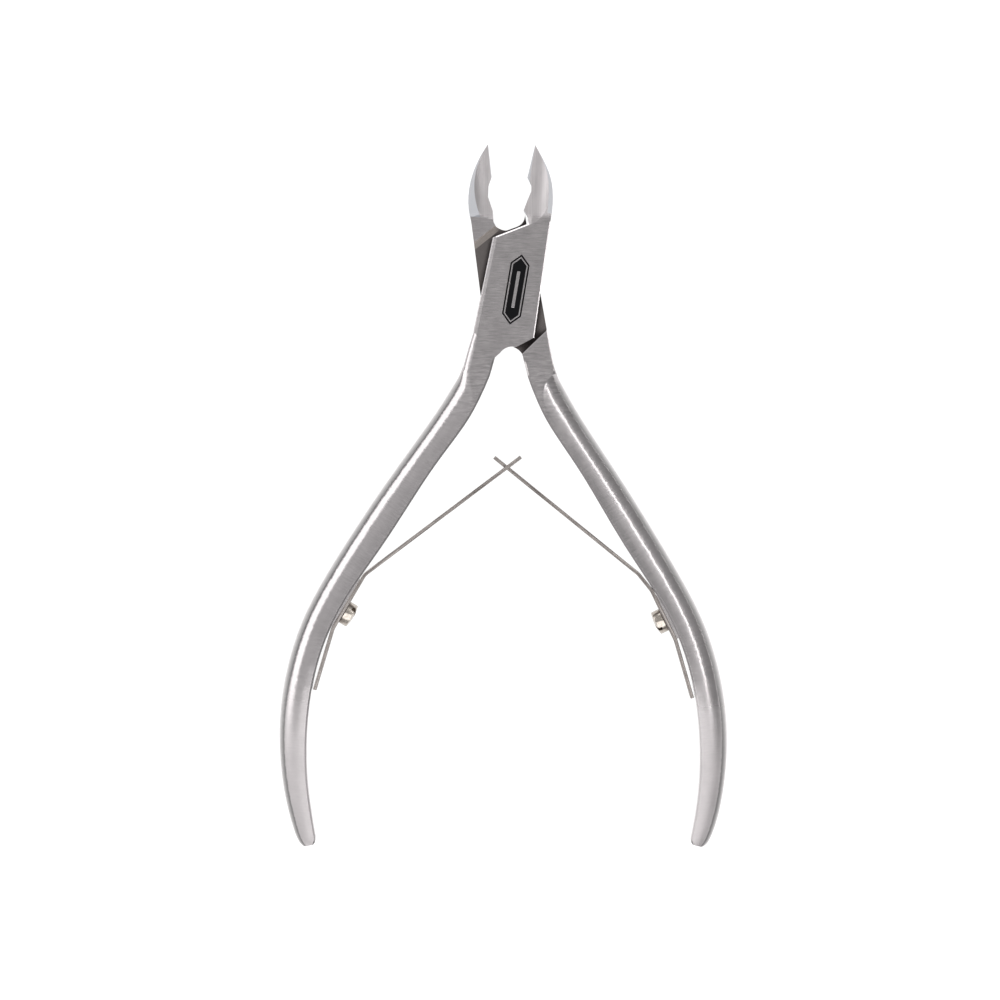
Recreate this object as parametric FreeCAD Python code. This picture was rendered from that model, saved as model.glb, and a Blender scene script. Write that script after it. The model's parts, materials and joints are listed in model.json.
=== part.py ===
import FreeCAD, Part
import math
import os

# Cuticle nipper, lying flat on its back face.
# Millimetres.  +Y points to the jaws, +Z up.  The origin is on the pivot axis, at the back face.
# The front lever carries the left handle and the right jaw, and laps over the rear lever,
# which carries the right handle and the left jaw.  A leaf spring on each handle holds them open.

# ---- driving dimensions ----
DEPTH = 6.0               # full thickness of joint, jaw roots and handles
MID = DEPTH / 2           # the lap plane
LAP_GAP = 0.04            # running gap between the two lap faces
FAR = 40.0                # reach of a cutter past the metal

RIVET_R = 1.75
RIVET_CLEARANCE = 0.03    # radial, in the rear lever; the rivet is tight in the front one
OPEN_REACH = 11.15        # radius cleared under the front jaw for the rear plate
LAP_TURN_Y = 4.5          # that clearance is cut from here up

JAW_TIP_Y = 21.1
BACK_TAPER_Y = 9.0        # where the back of a jaw starts to rise
BACK_TAPER_RISE = 2.1     # rise at the tip
BEVEL_RUN = 1.5           # width of the bevel behind a cutting edge
BEVEL_DROP = 2.2          # and its depth
FACET_DROP = 1.6          # a front facet reaches this far below the face
FACET_TIP_W = 0.08        # its width at the tip
FRONT_FACET_W = 0.62      # and at the heel of the front jaw
REAR_FACET_W = 0.14       # and of the rear jaw
GRIND_OVERRUN = 0.85      # the grinds run this far past heel and tip
EDGE_Z = 2.55             # height of the cutting edges
WHEEL_R = 40.0            # hollow-grinding wheel, overall radius
WHEEL_EDGE_R = 4.5        # radius of the wheel's rounded rim
WHEEL_ENTRY_DEG = 22.0    # slope at which the wheel enters the face

# Planes ground along edges: width met on the face, and fall over that width.
LEFT_BEVELS = ((0.58, 0.445), (0.39, 0.8))
TOP_BEVEL = (0.18, 0.68)
SIDE_BEVEL = (0.14, 0.38)
CUT_SPARE = 0.3           # a chamfer cutter stands this far clear of the metal
CUT_RUN = 1.5             # and is this wide
HANDLE_END_DEPTH = 4.4
HANDLE_ROUND = 0.8        # depth of the outer rounding over its width
MIN_ROUND = 0.4
MIN_FLANK = 0.12          # half of the least straight flank left below the rounding
INNER_CHAMFER = 0.25      # width and fall of the chamfer along a handle's inner edge
INNER_DROP = 0.2
REAR_HANDLE_INSET = 0.5   # the rear handle runs this much closer in at mid length
INSET_START_Y = -10.0
INSET_RUN = 58.0

LEAF_T = 0.52
LEAF_W = 4.0
LEAF_HINGE_GAP = 0.05
MIN_MITRE = 0.2           # limits how far the outside corner of a bend runs out
TONGUE_W = 1.6
WINDOW_W = 2.3
SCREW_R = 1.0
SCREW_HOLE_R = 1.1
SCREW_DEPTH = 3.0         # thread length inside the handle
HEAD_R = 1.75
HEAD_H = 1.5
HEAD_DOME = 0.22
SLOT_W = 0.5
SLOT_DEPTH = 0.8
SLOT_TURN = 35            # degrees the slot is turned from the leaf's length
THREAD_END_GAP = 0.2      # space left below the screw in its hole

# Stations down the front lever's handle: centre x, y, width across, width of the flat land.
# The first few are joined by straight rulings, the rest by a smooth surface.
ROOT_SPAN = 2
FRONT_ROOT = [
    (-3.48, -6.75, 3.6, 2.94),
    (-3.97, -9.2, 4.1, 3.18),
    (-4.70, -12.0, 4.1, 3.08),
    (-5.10, -13.0, 4.12, 2.75),
    (-5.54, -14.0, 4.15, 2.14),
    (-6.07, -15.0, 4.3, 1.33),
    (-6.62, -16.0, 4.43, 0.88),
    (-7.77, -18.0, 4.53, 0.69),
    (-9.08, -20.0, 4.5, 0.5),
]
# The same for the rear lever, mirrored.
REAR_ROOT = [
    (-3.75, -9.4, 3.7, 3.64),
    (-4.70, -12.0, 4.1, 4.04),
    (-5.10, -13.0, 4.12, 3.5),
    (-5.54, -14.0, 4.15, 1.85),
    (-6.07, -15.0, 4.3, 1.15),
    (-6.62, -16.0, 4.43, 0.85),
    (-7.77, -18.0, 4.53, 0.8),
    (-9.08, -20.0, 4.5, 0.7),
]
HANDLE = [
    (-12.59, -25.0, 4.4, 0.32),
    (-16.56, -31.0, 4.66, 0.32),
    (-20.41, -37.0, 4.7, 0.32),
    (-24.25, -43.0, 4.36, 0.32),
    (-27.40, -49.0, 4.25, 0.32),
    (-29.40, -55.0, 4.2, 0.32),
    (-30.45, -61.0, 4.15, 0.32),
    (-30.69, -67.0, 3.95, 0.32),
    (-30.05, -74.0, 3.5, 0.32),
    (-29.22, -78.0, 3.1, 0.32),
    (-28.66, -80.0, 2.75, 0.32),
    (-28.26, -81.1, 2.2, 0.32),
    (-28.12, -81.6, 1.3, 0.32),
]
REAR_SHORTER = 0.8        # the rear handle stops this much earlier
SHORTEN_FROM_Y = -77.0
HANDLE_TAPER_Y = -50.0    # the handle keeps its full depth down to here

# Leaf springs: end of the tail, bend below the screw, hinge at the upper bend, tip.
LEFT_LEAF = [(-27.65, -58.9), (-25.12, -49.92), (-20.6, -42.0), (1.93, -24.5)]
RIGHT_LEAF = [(27.45, -59.3), (24.9, -50.9), (21.3, -43.7), (19.3, -41.3), (-1.96, -24.6)]
LEFT_SCREW_AT = 6.2       # distance of the screw from the leaf's upper bend
RIGHT_SCREW_AT = 4.6
WINDOW_ENDS = (1.0, 3.9)  # distances from the left leaf's tip
TONGUE_L = 3.6            # length of the right leaf's narrow tongue
SHOULDER_LAP = 0.5        # the tongue runs this far back into the wide leaf
SEAT_W = 4.6              # pad on the handle under the leaf
SEAT_REACH = 2.2          # how far the pad runs into the handle
SEAT_START = 0.9          # the pad's distance from the leaf's upper bend
SEAT_END = 0.15           # and past the lower one


def at(x, y, z=0.0):
    return FreeCAD.Vector(x, y, z)


def lines(points, z=0.0):
    ends = [at(x, y, z) for x, y in points]
    return [Part.makeLine(a, b) for a, b in zip(ends, ends[1:])]


def curve(points, z=0.0):
    spline = Part.BSplineCurve()
    spline.interpolate([at(x, y, z) for x, y in points])
    return spline.toShape()


def arc(a, b, c, z=0.0):
    return Part.Arc(at(*a, z), at(*b, z), at(*c, z)).toShape()


def prism(edges, z0, z1):
    """Solid between two heights over a closed outline drawn at height 0."""
    face = Part.Face(Part.Wire(Part.__sortEdges__(edges)))
    face.translate(at(0, 0, z0))
    return face.extrude(at(0, 0, z1 - z0))


def polygon_prism(points, z0, z1):
    return prism(lines(points + points[:1]), z0, z1)


def unit(a, b):
    dx, dy = b[0] - a[0], b[1] - a[1]
    length = math.hypot(dx, dy)
    return dx / length, dy / length


def along(point, direction, distance):
    return point[0] + direction[0] * distance, point[1] + direction[1] * distance


def loop(points):
    """Closed polygon through 3-D points."""
    return Part.makePolygon(points + points[:1])


# ---- handles ----
def handle_depth(y):
    end_y = HANDLE[-1][1]
    share = max(0.0, (HANDLE_TAPER_Y - y) / (HANDLE_TAPER_Y - end_y))
    return DEPTH - (DEPTH - HANDLE_END_DEPTH) * share ** 2


def handle_section(centre, direction, width, land, side):
    """Flat inner face, a land, and an outer side rounded from the land's edge down to a flank."""
    out = (-side * direction[1], side * direction[0])
    inner = along(centre, out, -width / 2)
    half = handle_depth(centre[1]) / 2
    across = width - land
    down = min(half - MIN_FLANK, max(MIN_ROUND, across * HANDLE_ROUND))
    low = half - INNER_DROP
    across_axis = at(*out)
    rise = down / math.sqrt(1 - (land / width) ** 2)

    def spot(u, z):
        return at(inner[0] + out[0] * u, inner[1] + out[1] * u, MID + z)

    def corner(face):
        middle = spot(0, face * (half - down))
        flat, up = across_axis * width, at(0, 0, face * rise)
        major, minor = (flat, up) if width >= rise else (up, flat)
        ring = Part.Ellipse(middle + major, middle + minor, middle)
        start, end = spot(land, face * half), spot(width, face * (half - down))
        low, high = sorted((ring.parameter(start), ring.parameter(end)))
        if high - low > math.pi:
            low, high = high, low + 2 * math.pi
        return Part.Edge(ring, low, high)

    edges = [
        Part.makeLine(spot(0, -low), spot(0, low)),
        Part.makeLine(spot(0, low), spot(INNER_CHAMFER, half)),
        Part.makeLine(spot(INNER_CHAMFER, half), spot(land, half)),
        corner(1),
        Part.makeLine(spot(width, half - down), spot(width, down - half)),
        corner(-1),
        Part.makeLine(spot(land, -half), spot(INNER_CHAMFER, -half)),
        Part.makeLine(spot(INNER_CHAMFER, -half), spot(0, -low)),
    ]
    return Part.Wire(Part.__sortEdges__(edges))


def handle(stations, side):
    path = Part.BSplineCurve()
    path.interpolate([at(s[0], s[1]) for s in stations])
    sections = []
    for x, y, width, land in stations:
        tangent = path.tangent(path.parameter(at(x, y)))[0]
        sections.append(handle_section((x, y), (tangent.x, tangent.y), width, land, side))
    root = Part.makeLoft(sections[:ROOT_SPAN + 1], True, True)
    return root.fuse(Part.makeLoft(sections[ROOT_SPAN:], True, False))


# ---- jaws ----
def jaw_half(bottom_outer, top_outer, inner, z_mid, z_face):
    """Half of a jaw: its outer side leans in from the silhouette to the face."""
    wires = []
    for outer, z in ((bottom_outer, z_mid), (top_outer, z_face)):
        edges = [curve(outer, z)] + lines([outer[-1]] + inner + [outer[0]], z)
        wires.append(Part.Wire(edges))
    return Part.makeLoft(wires, True, True)


def jaw(silhouette, rim, inner):
    """Both halves, mirrored about the lap plane, over one plan silhouette."""
    upper = jaw_half(silhouette, rim, inner, MID, DEPTH)
    lower = jaw_half(silhouette, rim, inner, MID, 0.0)
    return upper.fuse(lower)


def hollow_wheel(entry, direction):
    """The wheel that hollows a jaw's front face, entering the face at one point."""
    slope = math.radians(WHEEL_ENTRY_DEG)
    centre = along(entry, direction, WHEEL_R * math.sin(slope))
    height = DEPTH + WHEEL_R * math.cos(slope)
    axle = at(direction[1], -direction[0])
    return Part.makeTorus(WHEEL_R - WHEEL_EDGE_R, WHEEL_EDGE_R, at(*centre, height), axle)


def back_taper():
    """Wedge that thins both jaws from behind towards the tips."""
    slope = BACK_TAPER_RISE / (JAW_TIP_Y - BACK_TAPER_Y)
    end_y = JAW_TIP_Y + 2
    end_z = slope * (end_y - BACK_TAPER_Y)
    outline = [(BACK_TAPER_Y, 0.0), (end_y, end_z), (end_y, -1.0), (BACK_TAPER_Y, -1.0)]
    face = Part.Face(loop([at(-FAR, y, z) for y, z in outline]))
    return face.extrude(at(2 * FAR, 0, 0))


def edge_grind(heel, tip, heel_profile, tip_profile):
    """Cutter along a cutting edge.  Profiles are (inward distance, height) points."""
    along_edge = unit(heel, tip)
    inward = (-along_edge[1], along_edge[0])
    if inward[0] * heel[0] > 0:
        inward = (-inward[0], -inward[1])
    wires = []
    for end, profile in ((heel, heel_profile), (tip, tip_profile)):
        corners = []
        for distance, height in profile:
            x, y = along(end, inward, distance)
            corners.append(at(x, y, height))
        wires.append(loop(corners))
    return Part.makeLoft(wires, True, True)


def facet_profile(width):
    top = DEPTH + 1
    corners = [(0.0, EDGE_Z), (-width, DEPTH - FACET_DROP), (-width, top)]
    return corners + [(CUT_RUN, top), (CUT_RUN, EDGE_Z)]


def grind_edges(solid, heel, tip, facet_width):
    """Cutting edge at EDGE_Z: a bevel behind it and a facet in front of it."""
    start = along(heel, unit(tip, heel), GRIND_OVERRUN)
    end = along(tip, unit(heel, tip), GRIND_OVERRUN)
    behind = [(0.0, EDGE_Z), (-BEVEL_RUN, EDGE_Z - BEVEL_DROP), (-BEVEL_RUN, -1.0)]
    behind += [(CUT_RUN, -1.0), (CUT_RUN, EDGE_Z)]
    solid = solid.cut(edge_grind(start, end, behind, behind))
    facet = edge_grind(start, end, facet_profile(facet_width), facet_profile(FACET_TIP_W))
    return solid.cut(facet)


# ---- joint block ----
def bevelled(block, corners, width, slope):
    """Grind a plane along the top edges between neighbouring corners, metal on their right."""
    top, low = DEPTH + CUT_SPARE * slope, DEPTH - (width + CUT_SPARE) * slope
    profile = [(-width - CUT_SPARE, top), (CUT_SPARE, low), (CUT_RUN, low), (CUT_RUN, top)]
    for a, b in zip(corners, corners[1:]):
        run = unit(a, b)
        out = (-run[1], run[0])
        start = along(a, run, -width / 2)
        ring = []
        for distance, height in profile:
            x, y = along(start, out, distance)
            ring.append(at(x, y, height))
        length = math.dist(a, b) + width
        face = Part.Face(loop(ring))
        block = block.cut(face.extrude(at(run[0] * length, run[1] * length)))
    return block


def rivet_hole(radius):
    return Part.makeCylinder(radius, DEPTH + 2, at(0, 0, -1))


# ---- front lever: left handle, right jaw ----
FRONT_TIP = (3.32, JAW_TIP_Y)
FRONT_HEEL = (2.27, 16.3)
FRONT_PLATE_CORNER = (-2.64, 7.39)
FRONT_CROTCH = (2.5, 9.47)
FRONT_LOW_CORNER = (3.57, -7.1)


def front_block():
    left = [(-5.28, -6.3), FRONT_PLATE_CORNER]
    top = [FRONT_PLATE_CORNER, FRONT_CROTCH]
    right = [(5.86, 11.0), (5.7, 9.75), FRONT_LOW_CORNER, (1.0, -8.5)]
    root = [(-2.27, -10.6), (-4.4, -7.3), left[0]]
    edges = lines(left) + lines(top)
    edges += [curve([FRONT_CROTCH, (2.43, 10.4), (1.8, 11.5)])]
    edges += lines([(1.8, 11.5)] + right)
    edges += [arc((1.0, -8.5), (-0.35, -8.6), (-1.35, -9.4))]
    edges += lines([(-1.35, -9.4), (-2.3, -10.25)] + root)
    block = prism(edges, 0.0, DEPTH)
    for bevel in LEFT_BEVELS:
        block = bevelled(block, left, *bevel)
    block = bevelled(block, top, *TOP_BEVEL)
    return bevelled(block, right[1:3], *SIDE_BEVEL)


def front_jaw():
    silhouette = [(5.7, 9.9), (6.03, 13.5), (5.6, 16.5), (4.62, 18.8), FRONT_TIP]
    rim = [(5.2, 9.9), (5.3, 13.5), (4.9, 16.5), (4.15, 18.8), FRONT_TIP]
    inner = [FRONT_HEEL, (2.86, 15.1), (2.86, 14.3), (2.25, 12.75), (1.8, 11.5)]
    inner += [(2.43, 10.4), (2.45, 9.9)]
    body = jaw(silhouette, rim, inner)
    return grind_edges(body, FRONT_HEEL, FRONT_TIP, FRONT_FACET_W)


def front_lap():
    """Space behind the front lever that the rear plate turns in."""
    outline = [(8.0, LAP_TURN_Y), (0.5, 10.66), (-9.0, 10.66), (-9.0, -2.44)]
    outline += [(-1.96, -9.4), (1.0, -12.3), (8.0, -12.3)]
    under = polygon_prism(outline, -1.0, MID + LAP_GAP / 2)
    reach = Part.makeCylinder(OPEN_REACH, 1.0 + MID + LAP_GAP / 2, at(0, 0, -1))
    upper_half = Part.makeBox(2 * FAR, FAR, FAR, at(-FAR, LAP_TURN_Y, -FAR / 2))
    return under.fuse(reach.common(upper_half))


def outward(bend, below, side):
    """Direction from a leaf's clamped length into its handle; side is -1 on the left."""
    down = unit(bend, below)
    return -side * down[1], side * down[0]


def seat(bend, below, side):
    """Flat pad on a handle's inner side, under the leaf."""
    down, out = unit(bend, below), outward(bend, below, side)
    start, end = along(bend, down, SEAT_START), along(below, down, -SEAT_END)
    corners = [along(start, out, LEAF_T / 2), along(end, out, LEAF_T / 2)]
    corners += [along(end, out, SEAT_REACH), along(start, out, SEAT_REACH)]
    return polygon_prism(corners, MID - SEAT_W / 2, MID + SEAT_W / 2)


def screw_shank(bend, below, distance, side, radius, start, length):
    """Cylinder on a screw's axis, from a height above the leaf's middle into the handle."""
    out = outward(bend, below, side)
    centre = along(along(bend, unit(bend, below), distance), out, start)
    return Part.makeCylinder(radius, length, at(*centre, MID), at(*out))


def screw_hole(bend, below, distance, side):
    return screw_shank(bend, below, distance, side, SCREW_R, 0.0, LEAF_T / 2 + SCREW_DEPTH)


def make_front_lever():
    body = front_block().fuse(front_jaw())
    body = body.fuse(handle(FRONT_ROOT + HANDLE, -1))
    body = body.fuse(seat(LEFT_LEAF[2], LEFT_LEAF[1], -1))
    body = body.cut(strip(LEFT_LEAF[1:3], DEPTH))
    body = body.cut(hollow_wheel((2.35, 9.35), unit((2.35, 9.35), (2.95, 21.0))))
    body = body.cut(back_taper())
    body = body.cut(front_lap())
    body = body.cut(rivet_hole(RIVET_R))
    return body.cut(screw_hole(LEFT_LEAF[2], LEFT_LEAF[1], LEFT_SCREW_AT, -1))


# ---- rear lever: right handle, left jaw ----
REAR_TIP = (-3.56, JAW_TIP_Y)
REAR_HEEL = (-2.96, 16.3)
REAR_PLATE_EDGE = [(1.96, -9.4), (5.27, -6.13)]


def rear_stations():
    """The front handle mirrored, drawn in a little towards mid length, and a little shorter."""
    stations = []
    for x, y, width, land in REAR_ROOT + HANDLE:
        share = (INSET_START_Y - y) / INSET_RUN
        inset = REAR_HANDLE_INSET * math.sin(math.pi * share)
        past = max(0.0, (SHORTEN_FROM_Y - y) / (SHORTEN_FROM_Y - HANDLE[-1][1]))
        stations.append((-x - inset, y + REAR_SHORTER * past, width, land))
    return stations


def rear_block():
    left = [(3.57, -7.1), (-3.45, -7.0)]
    crotch = (2.0, 10.85)
    root_in = (2.2, -10.6)
    root_out = (6.5, -11.15)
    right = [root_out, (5.99, -8.7), (5.83, -7.94), (4.42, -0.6), (2.64, 7.39), crotch]
    jaw_root = [(-2.62, 10.2), (-5.95, 10.4), (-5.85, 9.75), (-3.45, -7.0), (-1.0, -8.5)]
    edges = lines(right)
    hollow = [(1.07, 9.22), (-0.09, 8.75), (-0.7, 8.54), (-1.55, 8.7), (-2.3, 9.2)]
    edges += [curve([crotch] + hollow + jaw_root[:1])]
    edges += lines(jaw_root)
    edges += [arc(jaw_root[-1], (0.55, -8.45), (1.85, -9.4))]
    edges += lines([(1.85, -9.4), root_in, root_out])
    block = prism(edges, 0.0, DEPTH)
    return bevelled(block, right[3::-1], *SIDE_BEVEL)


def rear_jaw():
    silhouette = [(-5.85, 9.7), (-6.31, 13.3), (-5.85, 16.3), (-4.85, 18.9), REAR_TIP]
    rim = [(-4.3, 9.7), (-5.15, 13.3), (-5.0, 16.3), (-4.3, 18.9), REAR_TIP]
    inner = [REAR_HEEL, (-3.4, 15.0), (-3.45, 13.4), (-2.72, 11.3), (-2.62, 10.2), (-2.6, 9.7)]
    body = jaw(silhouette, rim, inner)
    return grind_edges(body, REAR_HEEL, REAR_TIP, REAR_FACET_W)


def rear_lap():
    """Space in front of the rear lever that the front plate turns in."""
    outline = [(-8.0, 4.5), (-5.2, 6.8), (-2.4, 9.1), (0.5, 11.5), (9.0, 11.5), (9.0, -2.44)]
    outline += REAR_PLATE_EDGE[::-1] + [(-1.0, -12.3), (-8.0, -12.3)]
    return polygon_prism(outline, MID - LAP_GAP / 2, DEPTH + 1)


def make_rear_lever():
    body = rear_block().fuse(rear_jaw())
    body = body.fuse(handle(rear_stations(), 1))
    body = body.fuse(seat(RIGHT_LEAF[2], RIGHT_LEAF[1], 1))
    body = body.cut(strip(RIGHT_LEAF[1:3], DEPTH))
    body = body.cut(hollow_wheel((-2.75, 10.05), unit((-2.75, 10.05), (-3.35, 21.0))))
    body = body.cut(back_taper())
    body = body.cut(rear_lap())
    body = bevelled(body, REAR_PLATE_EDGE, *SIDE_BEVEL)
    body = body.cut(rivet_hole(RIVET_R + RIVET_CLEARANCE))
    return body.cut(screw_hole(RIGHT_LEAF[2], RIGHT_LEAF[1], RIGHT_SCREW_AT, 1))


# ---- leaf springs ----
def strip(points, width):
    """Bent strip of constant thickness, standing on edge about the lap plane."""
    half = LEAF_T / 2
    sides = []
    for side in (1, -1):
        line = []
        for i, point in enumerate(points):
            before = unit(points[i - 1], point) if i else unit(point, points[1])
            after = unit(point, points[i + 1]) if i + 1 < len(points) else before
            mean = (before[0] + after[0], before[1] + after[1])
            size = math.hypot(*mean)
            normal = (-mean[1] / size, mean[0] / size)
            stretch = half / max(MIN_MITRE, normal[0] * -before[1] + normal[1] * before[0])
            line.append(along(point, normal, side * stretch))
        sides.append(line)
    outline = sides[0] + sides[1][::-1]
    return polygon_prism(outline, MID - width / 2, MID + width / 2)


def leaf_base(points, bend, below, screw_at, side):
    """Clamped part of a leaf: tail, screw hole, and up to the hinge."""
    hinge, before = points[-1], points[-2]
    stop = along(hinge, unit(hinge, before), LEAF_T / 2 + LEAF_HINGE_GAP)
    base = strip(points[:-1] + [stop], LEAF_W)
    return base.cut(screw_shank(bend, below, screw_at, side, SCREW_HOLE_R, -1.0, 2.0))


def leaf_arm(hinge, tip, width):
    """Free part of a leaf, with a rounded end about the bend."""
    knuckle = Part.makeCylinder(LEAF_T / 2, width, at(*hinge, MID - width / 2))
    return strip([hinge, tip], width).fuse(knuckle).removeSplitter()


def make_left_base():
    return leaf_base(LEFT_LEAF[:3], LEFT_LEAF[2], LEFT_LEAF[1], LEFT_SCREW_AT, -1)


def make_right_base():
    return leaf_base(RIGHT_LEAF[:4], RIGHT_LEAF[2], RIGHT_LEAF[1], RIGHT_SCREW_AT, 1)


def make_left_arm():
    """Wide to its tip, with a window near the end that the other leaf's tongue passes through."""
    hinge, tip = LEFT_LEAF[2], LEFT_LEAF[3]
    back = unit(tip, hinge)
    normal = (-back[1], back[0])
    near, far = [along(tip, back, distance) for distance in WINDOW_ENDS]
    corners = [along(near, normal, LEAF_T), along(far, normal, LEAF_T)]
    corners += [along(far, normal, -LEAF_T), along(near, normal, -LEAF_T)]
    window = polygon_prism(corners, MID - WINDOW_W / 2, MID + WINDOW_W / 2)
    return leaf_arm(hinge, tip, LEAF_W).cut(window)


def make_right_arm():
    hinge, tip = RIGHT_LEAF[3], RIGHT_LEAF[4]
    shoulder = along(tip, unit(tip, hinge), TONGUE_L)
    wide = leaf_arm(hinge, shoulder, LEAF_W)
    tongue = strip([along(shoulder, unit(tip, hinge), SHOULDER_LAP), tip], TONGUE_W)
    return wide.fuse(tongue)


# ---- screws and rivet ----
def screw_slot(top, out):
    """Driving slot across the head, whose top is at a point and faces away from out."""
    slot = Part.makeBox(4 * HEAD_R, SLOT_W, 2 * SLOT_DEPTH)
    slot.translate(at(-2 * HEAD_R, -SLOT_W / 2, -SLOT_DEPTH))
    slot.rotate(at(0, 0), at(0, 0, 1), SLOT_TURN)
    slot.rotate(at(0, 0), at(0, 1, 0), 90)
    slot.rotate(at(0, 0), at(0, 0, 1), math.degrees(math.atan2(out[1], out[0])))
    slot.translate(at(*top, MID))
    return slot


def make_screw(bend, below, distance, side):
    out = outward(bend, below, side)
    length = LEAF_T + SCREW_DEPTH - THREAD_END_GAP
    shank = screw_shank(bend, below, distance, side, SCREW_R, -LEAF_T / 2, length)
    head_at = -LEAF_T / 2 - HEAD_H
    head = screw_shank(bend, below, distance, side, HEAD_R, head_at, HEAD_H)
    top = along(along(bend, unit(bend, below), distance), out, head_at)
    dome_r = (HEAD_R ** 2 + HEAD_DOME ** 2) / (2 * HEAD_DOME)
    dome = Part.makeSphere(dome_r, at(*along(top, out, dome_r), MID))
    head = head.common(dome).cut(screw_slot(top, out))
    return shank.fuse(head).removeSplitter()


def make_rivet():
    return Part.makeCylinder(RIVET_R, DEPTH)


PARTS = {
    "front_lever": make_front_lever,
    "rear_lever": make_rear_lever,
    "pivot_rivet": make_rivet,
    "left_leaf_base": make_left_base,
    "left_leaf_arm": make_left_arm,
    "right_leaf_base": make_right_base,
    "right_leaf_arm": make_right_arm,
    "left_screw": lambda: make_screw(LEFT_LEAF[2], LEFT_LEAF[1], LEFT_SCREW_AT, -1),
    "right_screw": lambda: make_screw(RIGHT_LEAF[2], RIGHT_LEAF[1], RIGHT_SCREW_AT, 1),
}

os.makedirs("parts", exist_ok=True)
for name, make in PARTS.items():
    solid = make()
    print(name, solid.isValid(), len(solid.Solids), round(solid.Volume, 3), solid.BoundBox)
    solid.exportStep(f"parts/{name}.step")
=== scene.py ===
import json
import math

import bmesh
import bpy
from mathutils import Matrix, Vector


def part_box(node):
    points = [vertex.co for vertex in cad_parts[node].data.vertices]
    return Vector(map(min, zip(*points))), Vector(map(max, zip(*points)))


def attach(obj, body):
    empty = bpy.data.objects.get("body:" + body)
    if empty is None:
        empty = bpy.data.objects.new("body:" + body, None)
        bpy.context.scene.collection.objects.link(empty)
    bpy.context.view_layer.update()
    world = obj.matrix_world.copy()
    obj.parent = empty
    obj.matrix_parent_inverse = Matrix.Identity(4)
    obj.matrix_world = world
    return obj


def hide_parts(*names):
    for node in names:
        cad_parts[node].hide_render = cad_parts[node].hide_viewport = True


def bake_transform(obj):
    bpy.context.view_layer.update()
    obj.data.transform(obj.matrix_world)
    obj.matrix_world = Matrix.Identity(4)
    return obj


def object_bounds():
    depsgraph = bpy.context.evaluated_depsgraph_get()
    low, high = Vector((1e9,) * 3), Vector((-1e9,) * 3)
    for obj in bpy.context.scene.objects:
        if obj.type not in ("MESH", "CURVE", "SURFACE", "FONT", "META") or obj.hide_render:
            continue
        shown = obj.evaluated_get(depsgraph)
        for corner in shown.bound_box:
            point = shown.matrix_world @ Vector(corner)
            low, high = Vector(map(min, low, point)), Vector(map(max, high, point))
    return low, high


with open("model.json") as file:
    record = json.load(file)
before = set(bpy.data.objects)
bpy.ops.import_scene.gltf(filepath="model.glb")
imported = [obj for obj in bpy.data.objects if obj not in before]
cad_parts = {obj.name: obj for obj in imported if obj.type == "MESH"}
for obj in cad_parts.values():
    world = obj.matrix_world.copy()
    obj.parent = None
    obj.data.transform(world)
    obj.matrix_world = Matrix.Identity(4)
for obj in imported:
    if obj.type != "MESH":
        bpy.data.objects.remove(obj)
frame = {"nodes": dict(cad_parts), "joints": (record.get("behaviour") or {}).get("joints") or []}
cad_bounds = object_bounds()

# Looks for the cuticle nipper.  Metres, in the CAD frame: +Y to the jaws, +Z up, the origin on
# the pivot axis at the back face.

MM = 0.001

# ---- camera ----
MIDDLE_Z = 3.0                  # middle of the nipper's thickness, in mm
AIM = Vector((-1.03, -30.82, MIDDLE_Z)) * MM
TURN_DEG = 0.86                 # the view's upright leans this far from +Y
VIEW_WIDTH = 146 * MM           # width seen at the aim point
CAMERA_DISTANCE = 1.2
SENSOR = 36.0
CLIP_START = 0.01

# ---- leaf springs, in mm from each leaf's hinge ----
LEAF_THICKNESS = 0.52
LEAF_WIDTH = 4.0
BEND_RADIUS = 2.6
BEND_STEPS = 6
ROW_SPACING = 0.5
LEAST_SPACING = 0.02
EDGE_ROUNDING = 0.07
LEFT_TAIL = [(-7.05, -16.9), (-4.52, -7.92)]
RIGHT_TAIL = [(8.15, -18.0), (5.6, -9.6), (2.0, -2.4)]
WINDOW = (1.0, 3.9)             # from the left leaf's tip
WINDOW_HALF = 1.15
TONGUE_LENGTH = 3.6
TONGUE_HALF = 0.8
LEFT_ROWS = (0.4, WINDOW_HALF, 1.6, LEAF_WIDTH / 2)     # mesh rows from the middle
RIGHT_ROWS = (0.0, TONGUE_HALF, 1.4, LEAF_WIDTH / 2)
FACE_UV_SHIFT = 10              # keeps the wide faces' lines apart from the edges'

# ---- screws ----
HEAD_RADIUS = 1.75
HEAD_HEIGHT = 1.5
HEAD_DOME = 0.22
HEAD_RIM = 0.16                 # rounding round the top
HEAD_FOOT = 0.1                 # and round the underside
HEAD_SIDES = 64
DOME_STEPS = 6
SLOT_WIDTH = 0.5
SLOT_DEPTH = 0.8
SLOT_TURN_DEG = 55
SLOT_ROUNDING = 0.03
LEFT_SCREW_AT = 6.2
RIGHT_SCREW_AT = 4.6


# ---- small helpers ----
def smooth(obj, angle=35):
    for face in obj.data.polygons:
        face.use_smooth = True
    obj.data.set_sharp_from_angle(angle=math.radians(angle))


def round_edges(obj, name, width, angle):
    bevel = obj.modifiers.new(name, "BEVEL")
    bevel.width = width * MM
    bevel.segments = 2
    bevel.limit_method = "ANGLE"
    bevel.angle_limit = math.radians(angle)


def new_mesh(name, bm):
    mesh = bpy.data.meshes.new(name)
    bm.to_mesh(mesh)
    bm.free()
    obj = bpy.data.objects.new(name, mesh)
    bpy.context.scene.collection.objects.link(obj)
    return obj


def hinge_of(name):
    return Vector(next(j for j in frame["joints"] if j["name"] == name)["pos_m"])


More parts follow.
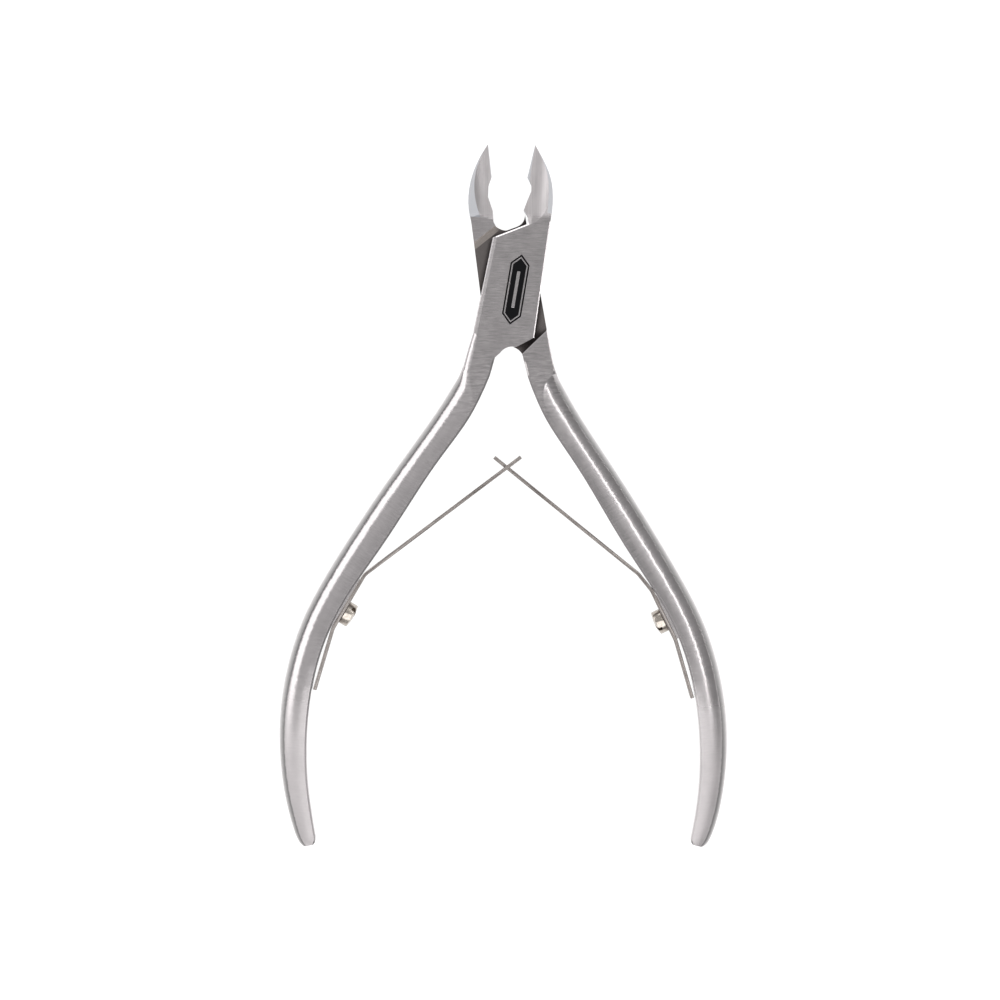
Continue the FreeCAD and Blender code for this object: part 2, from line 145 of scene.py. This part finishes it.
# ---- materials ----
class Nodes:
    """Short calls for building one node tree."""

    def __init__(self, tree):
        self.tree = tree
        tree.nodes.clear()

    def add(self, kind, settings=None, **inputs):
        node = self.tree.nodes.new(kind)
        for key, value in (settings or {}).items():
            setattr(node, key, value)
        for key, value in inputs.items():
            self.set(node, key.replace("_", " "), value)
        return node

    def set(self, node, key, value):
        socket = node.inputs[int(key) if key.isdigit() else key]
        if isinstance(value, bpy.types.NodeSocket):
            self.tree.links.new(value, socket)
        else:
            socket.default_value = value

    def math(self, operation, *values):
        node = self.add("ShaderNodeMath", {"operation": operation})
        for i, value in enumerate(values):
            self.set(node, str(i), value)
        return node.outputs[0]

    def smoothstep(self, value, low, high):
        """0 below low, 1 above high (or the other way round when high is less)."""
        if low > high:
            return self.math("SUBTRACT", 1.0, self.smoothstep(value, high, low))
        node = self.add("ShaderNodeMapRange", {"interpolation_type": "SMOOTHSTEP"}, Value=value)
        node.inputs["From Min"].default_value = low
        node.inputs["From Max"].default_value = high
        return node.outputs["Result"]

    def between(self, value, low, high, soft):
        up = self.smoothstep(value, low - soft, low + soft)
        down = self.smoothstep(value, high + soft, high - soft)
        return self.math("MULTIPLY", up, down)

    def contrast(self, value, gain):
        """Stretch or flatten a 0 to 1 value about its middle."""
        return self.math("MULTIPLY_ADD", value, gain, (1 - gain) / 2)

    def mix(self, share, a, b):
        node = self.add("ShaderNodeMix", {"data_type": "FLOAT"})
        self.set(node, "0", share)
        self.set(node, "2", a)
        self.set(node, "3", b)
        return node.outputs[0]

    def mix_colour(self, share, a, b):
        node = self.add("ShaderNodeMix", {"data_type": "RGBA"})
        self.set(node, "0", share)
        self.set(node, "6", a)
        self.set(node, "7", b)
        return node.outputs[2]

    def vector(self, x, y, z):
        node = self.add("ShaderNodeCombineXYZ", None, X=x, Y=y, Z=z)
        return node.outputs[0]

    def scaled(self, sockets, factors):
        """Coordinates times one factor each, as one vector."""
        return self.vector(*[self.math("MULTIPLY", s, f) for s, f in zip(sockets, factors)])

    def noise(self, vector, detail=3.0, roughness=0.55):
        node = self.add("ShaderNodeTexNoise", None, Vector=vector, Scale=1.0,
                        Detail=detail, Roughness=roughness)
        return node.outputs["Fac"]

    def ramp(self, value, stops):
        node = self.add("ShaderNodeValToRGB", None, Fac=value)
        ramp = node.color_ramp
        while len(ramp.elements) < len(stops):
            ramp.elements.new(1.0)
        for element, (place, colour) in zip(ramp.elements, stops):
            element.position = place
            element.color = (*colour, 1.0)
        return node.outputs["Color"]

    def millimetres(self):
        """Frame coordinates in millimetres, as three sockets."""
        place = self.add("ShaderNodeTexCoord").outputs["Object"]
        scale = self.add("ShaderNodeVectorMath", {"operation": "SCALE"}, Vector=place)
        scale.inputs["Scale"].default_value = 1 / MM
        split = self.add("ShaderNodeSeparateXYZ", None, Vector=scale.outputs[0])
        return split.outputs[0], split.outputs[1], split.outputs[2]


def new_material(name):
    material = bpy.data.materials.new(name)
    material.use_nodes = True
    return material, Nodes(material.node_tree)


def finish_metal(n, colour, roughness, bump_height, bump_mm):
    bump = n.add("ShaderNodeBump", None, Height=bump_height, Strength=1.0, Distance=bump_mm * MM)
    shader = n.add("ShaderNodeBsdfPrincipled", None, Roughness=roughness, Metallic=1.0,
                   Normal=bump.outputs["Normal"])
    n.set(shader, "Base Color", colour)
    out = n.add("ShaderNodeOutputMaterial")
    n.tree.links.new(shader.outputs[0], out.inputs["Surface"])


# ---- brushed steel: colours ----
STEEL = (0.68, 0.645, 0.65, 1.0)
STEEL_DARK = (0.49, 0.465, 0.47, 1.0)
# painted shade: a darker bluish grey on the jaws' outer sides, where they tilt away from up
JAW_SIDE_SHADE = (0.46, 0.465, 0.49, 1.0)
# Painted light and shade on the rounded flanks, set by how far the surface faces up: darkest near
# the shoulder, lighter on the steeper sides.
FLANK_SHADE = [(0.0, 0.80), (0.24, 0.78), (0.40, 0.57), (0.51, 0.46),
         (0.60, 0.36), (0.69, 0.26), (0.74, 0.26)]
FLANK_SHADE_WARMTH = 0.97             # green and blue, as a share of red
# painted shade: a dark colour on the recessed lap faces, where the walls keep the light out
LAP_SHADE = (0.24, 0.215, 0.21, 1.0)
# painted shade: near-black for the crevices next to another surface
CREVICE_SHADE = (0.02, 0.016, 0.016, 1.0)
CREVICE_SHADE_REACH = 1.2             # painted shade reaches this far from another surface
# a lighter band painted along the ground ledge, kept out of the painted shade
LEDGE = (0.50, 0.45, 0.42, 1.0)
ETCH = (0.012, 0.012, 0.013, 1.0)
BRUSHING_IN_TONE = 1.3
CLOUD_IN_TONE = 0.7
TONE_SHIFT = -0.6

# ---- brushed steel: where each finish and each painted shade starts and ends, in mm ----
HANDLE_Y = (-17.0, -19.5)
HANDLE_BEND_Y = (-44.0, -54.0)
SATIN_Y = (-54.0, -72.0)
ROOT_Y = (-19.0, -8.5)
FLANK_SHADE_Y = (-11.0, -15.0)
JAW_BRUSHING_Y = (10.2, 11.0)
JAW_POLISH_Y = (10.0, 11.5)
JAW_SIDE_SHADE_Y = (9.0, 10.5)
LAP_SHADE_Y = (-14.0, 12.0)
LAP_SHADE_Z = (2.8, 3.2)
LEDGE_TILT_DEG = 39.4           # direction of the wall above the rear lap face
LEDGE_REACH = (7.7, 8.75)       # the ground ledge below that wall, as distances across it
LEDGE_X = (-1.4, -2.4)
FRONT_FACE_Z = (5.85, 5.95)

# ---- brushed steel: limits on how far a surface faces up ----
FLANK_SHADE_UPRIGHT = (0.76, 0.71)
JAW_SIDE_SHADE_UPRIGHT = (0.8, 0.55)
LAP_SHADE_UPRIGHT = (0.7, 0.9)

# ---- brushed steel: streaks as (pitch, length) in mm, and gloss ----
PLATE_STROKES = (0.2, 1.5)
ROOT_STROKES = (0.32, 1.6)
HANDLE_STROKES = (0.22, 1.4)
JAW_STROKES = (0.12, 6.0)
UPPER_HANDLE_DEG = 31           # lean of the two runs of a handle
LOWER_HANDLE_DEG = 5
HANDLE_CONTRAST = 0.6
ROOT_CONTRAST = 1.3
SATIN_CONTRAST = 0.4
CLOUD_SCALE = 0.35
HANDLE_GLOSS = (0.06, 0.11)     # roughness: share of the brushing, and the rest
JAW_GLOSS = (0.08, 0.34)
SATIN_ROUGHNESS = 0.5
CLOUD_ROUGHNESS = 0.05
ETCH_ROUGHNESS = 0.6
STEEL_BUMP = 0.0015

# ---- etched bar on the front plate, in mm ----
MARK_AT = (0.82, -0.13)
MARK_TILT_DEG = 8.8
MARK_HALF = (5.2, 1.42)
MARK_EDGE = 0.03                # softness of its edge
MARK_OUTLINE = (0.26, 0.42)     # the bare outline, as insets
MARK_POINT = 1.4                # the ends come in this much faster than the sides
BAR_V = (0.24, 0.18)
BAR_U = (2.7, 2.6)
MARK_DEPTH = 20.0               # depth, as a multiple of the brushing's

# ---- springs and screws: finish ----
SPRING_DARK = (0.10, 0.085, 0.08)
SPRING_LIGHT = (0.46, 0.42, 0.40)
SPRING_STOPS = (0.45, 0.85)
SPRING_LINES = (0.12, 7.0)      # scale along the strip and across it
SPRING_STAIN = (0.5, 0.8)
SPRING_BUMP = 0.006
NICKEL_DARK = (0.38, 0.34, 0.30)
NICKEL_LIGHT = (0.60, 0.55, 0.50)
NICKEL_GRAIN = (3.0, 3.0, 3.0)
NICKEL_LINES = (1.2, 1.2, 16.0)
NICKEL_BUMP = 0.004


def strokes(n, along, across, z, pitch, length):
    """Brushing: streaks `pitch` mm apart and `length` mm long."""
    vector = n.vector(n.math("DIVIDE", along, length), n.math("DIVIDE", across, pitch),
                      n.math("DIVIDE", z, length))
    return n.noise(vector)


def turned(n, x, y, degrees):
    """The two coordinates turned by an angle: along it and across it."""
    c, s = math.cos(math.radians(degrees)), math.sin(math.radians(degrees))
    along = n.math("ADD", n.math("MULTIPLY", x, c), n.math("MULTIPLY", y, s))
    across = n.math("SUBTRACT", n.math("MULTIPLY", y, c), n.math("MULTIPLY", x, s))
    return along, across


def mark_mask(n, x, y, z):
    """A slender six-sided etched bar with a bare outline and a bare bar inside it."""
    dx, dy = n.math("SUBTRACT", x, MARK_AT[0]), n.math("SUBTRACT", y, MARK_AT[1])
    u, v = turned(n, dx, dy, 90 - MARK_TILT_DEG)
    u, v = n.math("ABSOLUTE", u), n.math("ABSOLUTE", v)

    def inside(inset):
        side = n.math("SUBTRACT", MARK_HALF[1] - inset, v)
        end = n.math("SUBTRACT", MARK_HALF[0] - inset * MARK_POINT, n.math("ADD", u, v))
        return n.smoothstep(n.math("MINIMUM", side, end), -MARK_EDGE, MARK_EDGE)

    outline = n.math("SUBTRACT", inside(MARK_OUTLINE[0]), inside(MARK_OUTLINE[1]))
    bar = n.math("MULTIPLY", n.smoothstep(v, *BAR_V), n.smoothstep(u, *BAR_U))
    bare = n.math("MAXIMUM", outline, bar)
    mask = n.math("MULTIPLY", inside(0.0), n.math("SUBTRACT", 1.0, bare))
    return n.math("MULTIPLY", mask, n.smoothstep(z, *FRONT_FACE_Z))


def lever_brushing(n, x, y, z):
    """Grinding marks: across the plates, across each run of the handles, up the jaws."""
    side = n.math("ABSOLUTE", x)
    upper = strokes(n, *turned(n, side, y, UPPER_HANDLE_DEG), z, *HANDLE_STROKES)
    lower = strokes(n, *turned(n, side, y, LOWER_HANDLE_DEG), z, *HANDLE_STROKES)
    handle = n.mix(n.smoothstep(y, *HANDLE_BEND_Y), upper, lower)
    handle = n.contrast(handle, HANDLE_CONTRAST)
    plate = strokes(n, x, y, z, *PLATE_STROKES)
    coarse = n.contrast(strokes(n, x, y, z, *ROOT_STROKES), ROOT_CONTRAST)
    jaws = strokes(n, y, x, z, *JAW_STROKES)
    brushing = n.mix(n.smoothstep(y, *HANDLE_Y), plate, handle)
    brushing = n.mix(n.between(y, *ROOT_Y, 1.0), brushing, coarse)
    brushing = n.mix(n.smoothstep(y, *JAW_BRUSHING_Y), brushing, jaws)
    satin = n.smoothstep(y, *SATIN_Y)
    return n.mix(satin, brushing, n.contrast(brushing, SATIN_CONTRAST))


def lever_roughness(n, y, brushing, cloud):
    handle = n.math("MULTIPLY_ADD", brushing, *HANDLE_GLOSS)
    jaw = n.math("MULTIPLY_ADD", brushing, *JAW_GLOSS)
    roughness = n.mix(n.smoothstep(y, *SATIN_Y), handle, SATIN_ROUGHNESS)
    roughness = n.mix(n.smoothstep(y, *JAW_POLISH_Y), roughness, jaw)
    return n.math("MULTIPLY_ADD", cloud, CLOUD_ROUGHNESS, roughness)


def lap_colour(n, colour, x, y, z, upright):
    """Painted shade on the lap faces, darkest where another surface is near, and a lighter band
    painted along the ledge.
    """
    # painted shade on the recessed lap faces
    lap_shade = n.math("MULTIPLY", n.between(z, *LAP_SHADE_Z, 0.05), n.smoothstep(upright, *LAP_SHADE_UPRIGHT))
    lap_shade = n.math("MULTIPLY", lap_shade, n.between(y, *LAP_SHADE_Y, 0.3))
    colour = n.mix_colour(lap_shade, colour, LAP_SHADE)
    # painted shade: ambient occlusion darkens the lap faces next to another surface
    near = n.add("ShaderNodeAmbientOcclusion", {"samples": 8}, Distance=CREVICE_SHADE_REACH * MM)
    shade = n.math("MULTIPLY", lap_shade, n.smoothstep(near.outputs["AO"], 0.9, 0.45))
    colour = n.mix_colour(shade, colour, CREVICE_SHADE)
    # a lighter band painted along the ledge, over the painted shade
    ledge = n.between(turned(n, x, y, LEDGE_TILT_DEG)[1], *LEDGE_REACH, 0.06)
    ledge = n.math("MULTIPLY", n.math("MULTIPLY", lap_shade, ledge), n.smoothstep(x, *LEDGE_X))
    return n.mix_colour(ledge, colour, LEDGE)


def lever_colour(n, x, y, z, brushing, cloud):
    shift = n.math("MULTIPLY_ADD", cloud, CLOUD_IN_TONE, TONE_SHIFT)
    tone = n.math("MULTIPLY_ADD", brushing, BRUSHING_IN_TONE, shift)
    colour = n.mix_colour(tone, STEEL_DARK, STEEL)
    normal = n.add("ShaderNodeTexCoord").outputs["Normal"]
    upright = n.add("ShaderNodeSeparateXYZ", None, Vector=normal).outputs[2]
    upright = n.math("ABSOLUTE", upright)
    # painted light and shade: the flanks' colour set by their tilt from up
    flank_shade = n.math("MULTIPLY", n.smoothstep(upright, *FLANK_SHADE_UPRIGHT),
                   n.smoothstep(y, *FLANK_SHADE_Y))
    stops = [(place, (v, v * FLANK_SHADE_WARMTH, v * FLANK_SHADE_WARMTH)) for place, v in FLANK_SHADE]
    colour = n.mix_colour(flank_shade, colour, n.ramp(upright, stops))
    # painted shade on the jaws' outer sides, by their tilt from up
    jaw_side_shade = n.math("MULTIPLY", n.smoothstep(upright, *JAW_SIDE_SHADE_UPRIGHT),
                      n.smoothstep(y, *JAW_SIDE_SHADE_Y))
    colour = n.mix_colour(jaw_side_shade, colour, JAW_SIDE_SHADE)
    return lap_colour(n, colour, x, y, z, upright)


def lever_steel(name, marked):
    material, n = new_material(name)
    x, y, z = n.millimetres()
    brushing = bump = lever_brushing(n, x, y, z)
    cloud = n.noise(n.scaled((x, y, z), [CLOUD_SCALE] * 3), detail=5.0)
    roughness = lever_roughness(n, y, brushing, cloud)
    colour = lever_colour(n, x, y, z, brushing, cloud)
    if marked:
        mark = mark_mask(n, x, y, z)
        colour = n.mix_colour(mark, colour, ETCH)
        roughness = n.mix(mark, roughness, ETCH_ROUGHNESS)
        bump = n.math("SUBTRACT", brushing, n.math("MULTIPLY", mark, MARK_DEPTH))
    finish_metal(n, colour, roughness, bump, STEEL_BUMP)
    return material


def spring_steel(name):
    """Rolled strip: long fine lines, slightly warm."""
    material, n = new_material(name)
    uv = n.add("ShaderNodeTexCoord").outputs["UV"]
    split = n.add("ShaderNodeSeparateXYZ", None, Vector=uv)
    along, around = split.outputs[0], split.outputs[1]

    def streaks(scale, height, detail):
        u, v = n.math("MULTIPLY", along, scale[0]), n.math("MULTIPLY", around, scale[1])
        return n.noise(n.vector(u, v, height), detail=detail)

    lines = streaks(SPRING_LINES, 0.0, 3.0)
    stain = streaks(SPRING_STAIN, 3.0, 5.0)
    shade = n.math("MULTIPLY_ADD", lines, 1.1, n.math("MULTIPLY", stain, 0.3))
    colour = n.ramp(shade, list(zip(SPRING_STOPS, (SPRING_DARK, SPRING_LIGHT))))
    roughness = n.math("MULTIPLY_ADD", lines, 0.2, n.math("MULTIPLY_ADD", stain, 0.1, 0.1))
    finish_metal(n, colour, roughness, lines, SPRING_BUMP)
    return material


def nickel(name):
    material, n = new_material(name)
    place = n.millimetres()
    grain = n.noise(n.scaled(place, NICKEL_GRAIN), detail=6.0)
    lines = n.noise(n.scaled(place, NICKEL_LINES))
    colour = n.ramp(grain, [(0.3, NICKEL_DARK), (0.7, NICKEL_LIGHT)])
    roughness = n.math("MULTIPLY_ADD", grain, 0.14, 0.12)
    finish_metal(n, colour, roughness, lines, NICKEL_BUMP)
    return material


def set_material(obj, material):
    obj.data.materials.clear()
    obj.data.materials.append(material)


# ---- leaf springs ----
def rounded_path(points, radius):
    """The path with its corners rounded, as (x, y) points; the ends stay."""
    path = [Vector(points[0])]
    for before, corner, after in zip(points, points[1:], points[2:]):
        corner = Vector(corner)
        back, ahead = (Vector(before) - corner), (Vector(after) - corner)
        turn = math.pi - back.angle(ahead)
        reach = radius * math.tan(turn / 2)
        start, end = corner + back.normalized() * reach, corner + ahead.normalized() * reach
        for i in range(BEND_STEPS + 1):
            t = i / BEND_STEPS
            path.append(start.lerp(corner, t).lerp(corner.lerp(end, t), t))
    path.append(Vector(points[-1]))
    return path


def resample(path, marks):
    """Points (distance, place, normal) along the path, with one at each marked distance."""
    distance = [0.0]
    for a, b in zip(path, path[1:]):
        distance.append(distance[-1] + (b - a).length)
    total = distance[-1]
    wanted = set(round(d, 5) for d in distance + [total - m for m in marks])
    steps = int(total / ROW_SPACING)
    wanted |= {round(total * i / steps, 5) for i in range(steps + 1)}
    rows = []
    for d in sorted(wanted):
        marked = any(abs(d - total + m) < 1e-4 for m in marks)
        if rows and d - rows[-1][0] < LEAST_SPACING and not marked:
            continue
        i = max(k for k in range(len(path) - 1) if distance[k] <= d + 1e-9)
        run = path[i + 1] - path[i]
        point = path[i] + run * ((d - distance[i]) / run.length)
        rows.append((d, point, Vector((-run.y, run.x)).normalized()))
    return rows, total


def leaf_grid(bm, rows, heights):
    """Vertices of both wide faces, by side, row and height."""
    grid = {}
    for side in (-1, 1):
        for i, (d, point, normal) in enumerate(rows):
            for j, h in enumerate(heights):
                spot = point + normal * LEAF_THICKNESS / 2 * side
                grid[side, i, j] = bm.verts.new((spot.x * MM, spot.y * MM, h * MM))
    return grid


def leaf_cells(rows, total, heights, keep):
    """Cells with metal in them."""
    middle = sum(heights) / len(heights)
    cells = set()
    for i in range(len(rows) - 1):
        for j in range(len(heights) - 1):
            from_tip = total - (rows[i][0] + rows[i + 1][0]) / 2
            if keep(from_tip, (heights[j] + heights[j + 1]) / 2 - middle):
                cells.add((i, j))
    return cells


def cell_walls(i, j):
    """Each neighbour of a cell, with the two corners they share."""
    return (((i - 1, j), (i, j), (i, j + 1)), ((i + 1, j), (i + 1, j + 1), (i + 1, j)),
            ((i, j - 1), (i + 1, j), (i, j)), ((i, j + 1), (i, j + 1), (i + 1, j + 1)))


def leaf_faces(bm, uv, grid, cells, rows, heights):
    where = {vert: key for key, vert in grid.items()}

    def face(keys, wall):
        f = bm.faces.new([grid[k] for k in keys])
        for loop in f.loops:
            side, i, j = where[loop.vert]
            around = side * LEAF_THICKNESS / 2 if wall else heights[j] + FACE_UV_SHIFT
            loop[uv].uv = (rows[i][0], around)

    for i, j in cells:
        face([(1, i, j), (1, i, j + 1), (1, i + 1, j + 1), (1, i + 1, j)], False)
        face([(-1, i, j), (-1, i + 1, j), (-1, i + 1, j + 1), (-1, i, j + 1)], False)
        for neighbour, a, b in cell_walls(i, j):
            if neighbour not in cells:
                face([(-1, *a), (-1, *b), (1, *b), (1, *a)], True)


def leaf(name, points, marks, heights, keep):
    """One continuous bent strip; keep(distance from the tip, height) says where there is metal."""
    rows, total = resample(rounded_path(points, BEND_RADIUS), marks)
    bm = bmesh.new()
    uv = bm.loops.layers.uv.new("UVMap")
    grid = leaf_grid(bm, rows, heights)
    leaf_faces(bm, uv, grid, leaf_cells(rows, total, heights, keep), rows, heights)
    for vert in [v for v in bm.verts if not v.link_faces]:
        bm.verts.remove(vert)
    bmesh.ops.recalc_face_normals(bm, faces=bm.faces)
    obj = new_mesh(name, bm)
    round_edges(obj, "rounded_edges", EDGE_ROUNDING, 50)
    smooth(obj, 40)
    return obj


def both_ways(middle, rows):
    """Heights on both sides of a middle height, lowest first."""
    return [middle + r for r in [-r for r in reversed(rows) if r] + list(rows)]


def blend_at_hinge(obj):
    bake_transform(obj)


def leaf_tip(hinge, node, side):
    """Tip of a leaf's centre line, from the corner of its CAD box."""
    low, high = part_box(node)
    corner = Vector((high.x if side < 0 else low.x, high.y))
    run = corner - hinge.xy
    half = LEAF_THICKNESS / 2 * MM
    lean = math.atan2(run.y, abs(run.x))
    return Vector((corner.x + side * half * math.sin(lean), corner.y - half * math.cos(lean)))


def left_leaf():
    hinge = hinge_of("left_spring_flex")
    tip = leaf_tip(hinge, "left_leaf_arm", -1)
    base = hinge.xy / MM
    points = [base + Vector(p) for p in LEFT_TAIL] + [base, tip / MM]

    def keep(from_tip, height):
        return not (WINDOW[0] < from_tip < WINDOW[1] and abs(height) < WINDOW_HALF)

    obj = leaf("left_leaf", points, WINDOW, both_ways(hinge.z / MM, LEFT_ROWS), keep)
    set_material(obj, spring_steel("rolled_spring_steel"))
    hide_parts("left_leaf_base", "left_leaf_arm")
    blend_at_hinge(obj)
    return obj


def right_leaf(material):
    hinge = hinge_of("right_spring_flex")
    tip = leaf_tip(hinge, "right_leaf_arm", 1)
    base = hinge.xy / MM
    points = [base + Vector(p) for p in RIGHT_TAIL] + [base, tip / MM]

    def keep(from_tip, height):
        return from_tip > TONGUE_LENGTH or abs(height) < TONGUE_HALF

    heights = both_ways(hinge.z / MM, RIGHT_ROWS)
    obj = leaf("right_leaf", points, (TONGUE_LENGTH,), heights, keep)
    set_material(obj, material)
    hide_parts("right_leaf_base", "right_leaf_arm")
    blend_at_hinge(obj)


# ---- screws ----
def screw_frame(bend, below, distance, side):
    """Matrix whose +Z points out of the head, with the origin under the head."""
    down = (below - bend).normalized()
    into = Vector((-side * -down.y, -side * down.x)) * -1
    seat = bend + down * distance - into * LEAF_THICKNESS / 2
    z_axis = Vector((-into.x, -into.y, 0))
    x_axis = Vector((down.x, down.y, 0))
    y_axis = z_axis.cross(x_axis)
    turn = Matrix((x_axis, y_axis, z_axis)).transposed().to_4x4()
    return Matrix.Translation(Vector((seat.x, seat.y, MIDDLE_Z)) * MM) @ turn


def head_profile():
    """Half section of the head: (radius, height) in mm, from the underside to the crown."""
    edge = HEAD_HEIGHT - HEAD_DOME
    crown = HEAD_RADIUS - HEAD_RIM
    rows = [(0.0, 0.0), (HEAD_RADIUS - HEAD_FOOT, 0.0), (HEAD_RADIUS, HEAD_FOOT),
            (HEAD_RADIUS, edge - HEAD_RIM), (HEAD_RADIUS - 0.05, edge - 0.05), (crown, edge)]
    for i in range(1, DOME_STEPS + 1):
        r = crown * (1 - i / DOME_STEPS)
        rows.append((r, edge + HEAD_DOME * (1 - (r / crown) ** 2)))
    return rows


def head_body(name):
    """The head without its slot: the half section turned round its axis."""
    bm = bmesh.new()
    turns = [2 * math.pi * k / HEAD_SIDES for k in range(HEAD_SIDES)]
    rings = []
    for r, h in head_profile():
        spots = [(r * math.cos(t), r * math.sin(t)) for t in turns] if r > 1e-6 else [(0, 0)]
        rings.append([bm.verts.new((x * MM, y * MM, h * MM)) for x, y in spots])
    for a, b in zip(rings, rings[1:]):
        for k in range(HEAD_SIDES):
            quad = [a[k % len(a)], a[(k + 1) % len(a)], b[(k + 1) % len(b)], b[k % len(b)]]
            bm.faces.new(list(dict.fromkeys(quad)))
    return new_mesh(name, bm)


def slot_cutter():
    bm = bmesh.new()
    bmesh.ops.create_cube(bm, size=1.0)
    size = [s * MM for s in (4 * HEAD_RADIUS, SLOT_WIDTH, 2 * SLOT_DEPTH)]
    turn = Matrix.Rotation(math.radians(SLOT_TURN_DEG), 3, "Z")
    bmesh.ops.scale(bm, vec=size, verts=bm.verts)
    bmesh.ops.rotate(bm, matrix=turn, verts=bm.verts)
    bmesh.ops.translate(bm, vec=(0, 0, HEAD_HEIGHT * MM), verts=bm.verts)
    return new_mesh("slot_cutter", bm)


def screw_head(name, place):
    head = head_body(name)
    cutter = slot_cutter()
    cut = head.modifiers.new("slot", "BOOLEAN")
    cut.object = cutter
    cut.operation = "DIFFERENCE"
    cut.solver = "EXACT"
    evaluated = head.evaluated_get(bpy.context.evaluated_depsgraph_get())
    mesh = bpy.data.meshes.new_from_object(evaluated)
    head.modifiers.clear()
    head.data = mesh
    bpy.data.objects.remove(cutter)
    round_edges(head, "slot_edges", SLOT_ROUNDING, 60)
    head.data.transform(place)
    smooth(head, 30)
    return head


def screws(material):
    left = hinge_of("left_spring_flex").xy / MM
    right = hinge_of("right_spring_flex").xy / MM
    tail = [right + Vector(p) for p in RIGHT_TAIL]
    places = {
        "left_screw": (left, left + Vector(LEFT_TAIL[1]), LEFT_SCREW_AT, -1, "front_half"),
        "right_screw": (tail[2], tail[1], RIGHT_SCREW_AT, 1, "rear_half"),
    }
    for node, (bend, below, distance, side, body) in places.items():
        head = screw_head(node + "_head", screw_frame(bend, below, distance, side))
        set_material(head, material)
        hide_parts(node)
        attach(head, body)


# ---- stage ----
FLOOR_HALF = 0.9
FLOOR_DROP = 0.02               # this far below the part, in mm
FLOOR_TONES = (0.15, 0.19)
FLOOR_GLOW = 0.95
LIGHT_DISTANCE = 1.0
# Sky brightness by the angle from straight up towards +X, in degrees.
SKY = [(-180, 0.30), (-92, 0.34), (-80, 0.40), (-56, 0.55), (-30, 0.62), (-12, 0.50),
       (-3, 0.45), (2, 0.42), (7, 0.29), (15, 0.47), (26, 0.72), (37, 0.98), (47, 0.46),
       (57, 0.38), (77, 0.30), (92, 0.32), (180, 0.30)]


def floor():
    material, n = new_material("pale_floor")
    x, y, z = n.millimetres()
    haze = n.noise(n.vector(n.math("MULTIPLY", x, 0.004), n.math("MULTIPLY", y, 0.004), 0.0))
    stops = [(place, (tone, tone, tone)) for place, tone in zip((0.2, 0.8), FLOOR_TONES)]
    shader = n.add("ShaderNodeBsdfPrincipled", None, Roughness=0.7)
    n.set(shader, "Base Color", n.ramp(haze, stops))
    n.set(shader, "Emission Color", (1.0, 1.0, 1.0, 1.0))
    n.set(shader, "Emission Strength", FLOOR_GLOW)
    out = n.add("ShaderNodeOutputMaterial")
    n.tree.links.new(shader.outputs[0], out.inputs["Surface"])
    bm = bmesh.new()
    bmesh.ops.create_grid(bm, x_segments=1, y_segments=1, size=FLOOR_HALF)
    obj = new_mesh("floor", bm)
    obj.location = (AIM.x, AIM.y, cad_bounds[0][2] - FLOOR_DROP * MM)
    set_material(obj, material)


def direction(zenith_deg, azimuth_deg):
    zenith, azimuth = math.radians(zenith_deg), math.radians(azimuth_deg)
    level = math.sin(zenith)
    return Vector((level * math.cos(azimuth), level * math.sin(azimuth), math.cos(zenith)))


def area_light(name, zenith, azimuth, length, height, radiance):
    """Rectangular softbox facing the nipper; length lies level."""
    data = bpy.data.lights.new(name, "AREA")
    data.shape = "RECTANGLE"
    data.size = length
    data.size_y = height
    data.energy = radiance * math.pi * length * height
    obj = bpy.data.objects.new(name, data)
    bpy.context.scene.collection.objects.link(obj)
    towards = direction(zenith, azimuth)
    obj.location = AIM + towards * LIGHT_DISTANCE
    level = Vector((0, 0, 1)).cross(towards).normalized()
    up = towards.cross(level)
    obj.rotation_euler = Matrix((level, up, towards)).transposed().to_euler()


def sky():
    world = bpy.data.worlds.new("studio")
    bpy.context.scene.world = world
    world.use_nodes = True
    n = Nodes(world.node_tree)
    towards = n.add("ShaderNodeTexCoord").outputs["Generated"]
    split = n.add("ShaderNodeSeparateXYZ", None, Vector=towards)
    angle = n.math("ARCTAN2", split.outputs[0], split.outputs[2])
    share = n.math("MULTIPLY_ADD", angle, 0.5 / math.pi, 0.5)
    stops = [((a + 180) / 360, (v, v, v)) for a, v in SKY]
    background = n.add("ShaderNodeBackground", None, Color=n.ramp(share, stops), Strength=1.0)
    out = n.add("ShaderNodeOutputWorld")
    n.tree.links.new(background.outputs[0], out.inputs["Surface"])


def lights():
    area_light("left_softbox", zenith=65, azimuth=167, length=1.0, height=0.46, radiance=1.5)
    area_light("right_strip", zenith=40, azimuth=10, length=1.1, height=0.035, radiance=4.6)
    area_light("right_low_strip", zenith=87.5, azimuth=10, length=1.1, height=0.03,
               radiance=2.6)
    area_light("jaw_fill", zenith=30, azimuth=90, length=0.4, height=0.7, radiance=0.60)
    area_light("top_strip", zenith=70, azimuth=110, length=0.35, height=0.22, radiance=2.2)
    area_light("tail_fill", zenith=31, azimuth=270, length=1.0, height=1.0, radiance=1.7)


def camera():
    data = bpy.data.cameras.new("camera")
    data.sensor_width = SENSOR
    data.lens = SENSOR * CAMERA_DISTANCE / VIEW_WIDTH
    data.clip_start = CLIP_START
    obj = bpy.data.objects.new("camera", data)
    bpy.context.scene.collection.objects.link(obj)
    obj.location = AIM + Vector((0, 0, CAMERA_DISTANCE))
    obj.rotation_euler = (0, 0, math.radians(TURN_DEG))
    bpy.context.scene.camera = obj
    bpy.context.scene.view_settings.view_transform = "Standard"


# ---- put it together ----
def dress_levers():
    steels = {"front_lever": lever_steel("brushed_steel_front", True),
              "rear_lever": lever_steel("brushed_steel_rear", False),
              "pivot_rivet": lever_steel("brushed_steel_rivet", True)}
    for node, material in steels.items():
        obj = frame["nodes"][node]
        set_material(obj, material)


dress_levers()
left = left_leaf()
right_leaf(left.data.materials[0])
screws(nickel("nickel_plate"))
floor()
sky()
lights()
camera()
